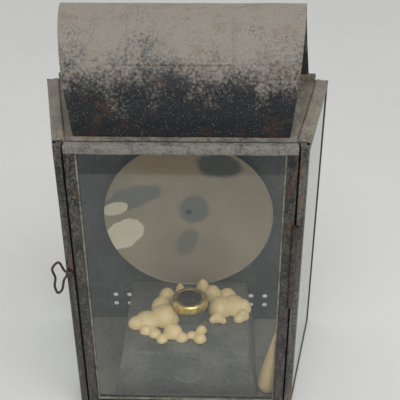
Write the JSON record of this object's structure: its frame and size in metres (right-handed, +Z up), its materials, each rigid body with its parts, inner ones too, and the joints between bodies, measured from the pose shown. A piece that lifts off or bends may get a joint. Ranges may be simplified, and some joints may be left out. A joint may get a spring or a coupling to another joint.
{
  "type": "tin lantern",
  "caption": "Wall and table lantern of japanned tin with a hinged glass door, splayed side panes, open-ended barrel hood, dished reflector and a tapered oil fount with a brass burner collar.",
  "frame": {"origin": "middle of the base's underside", "axes": "+Z up, door and latch face -Y, +X to the right as seen from the front"},
  "size_m": [0.234, 0.1295, 0.3357],
  "materials": {
    "black_tin": "worn black japan over tinplate",
    "hood_tin": "worn black japan, dusty and speckled",
    "door_tin": "worn black japan with rust",
    "tan_tin": "stained bare tinplate",
    "bead_tin": "dull bare tinplate",
    "reflector_tin": "tarnished tinplate",
    "fount_tin": "dull dark tinplate",
    "collar_brass": "rubbed bright brass",
    "wax": "yellowed wax, soft sheen",
    "door_glass": "clear, slightly dusty",
    "side_glass": "clear, faint green edge",
    "hinge_iron": "dark iron",
    "latch_iron": "brown iron wire"
  },
  "bodies": {
    "body": {"floor_plate": "black_tin", "back_plate": "black_tin", "left_post": "black_tin", "right_post": "black_tin", "left_sill": "black_tin", "right_sill": "black_tin", "left_back_channel": "black_tin", "right_back_channel": "black_tin", "left_side_glass": "side_glass", "right_side_glass": "side_glass", "front_rail": "black_tin", "front_sill": "black_tin", "top_plate": "tan_tin", "back_curb": "tan_tin", "left_top_rim": "tan_tin", "right_top_rim": "tan_tin", "flue_ring": "black_tin", "hood": "hood_tin", "hood_panel": "hood_tin", "reflector": "reflector_tin", "reflector_rivet": "black_tin", "fount_tank": "fount_tin", "fount_top": "fount_tin", "fount_disc": "fount_tin", "collar_neck": "fount_tin", "brass_collar": "collar_brass", "melted_wax": "wax", "candle_stub": "wax", "back_sleeve": "black_tin", "hinge_post_leaf": "hinge_iron", "hinge_pin": "hinge_iron", "latch_rivet": "hinge_iron"},
    "door": {"door_left_stile": "door_tin", "door_right_stile": "door_tin", "door_top_rail": "door_tin", "door_bottom_rail": "door_tin", "door_glass": "door_glass", "glazing_bead": "bead_tin", "hinge_door_leaf": "hinge_iron"},
    "latch": {"latch_wire": "latch_iron"}
  },
  "joints": [
    {"name": "door_swing", "type": "hinge", "parent": "body", "child": "door", "pos_m": [0.0843, -0.061, 0.1525], "axis": [0, 0, 1], "range_deg": [0, 170]},
    {"name": "latch_turn", "type": "hinge", "parent": "body", "child": "latch", "pos_m": [-0.088, -0.0613, 0.1455], "axis": [0, 1, 0], "range_deg": [0, 180]}
  ]
}
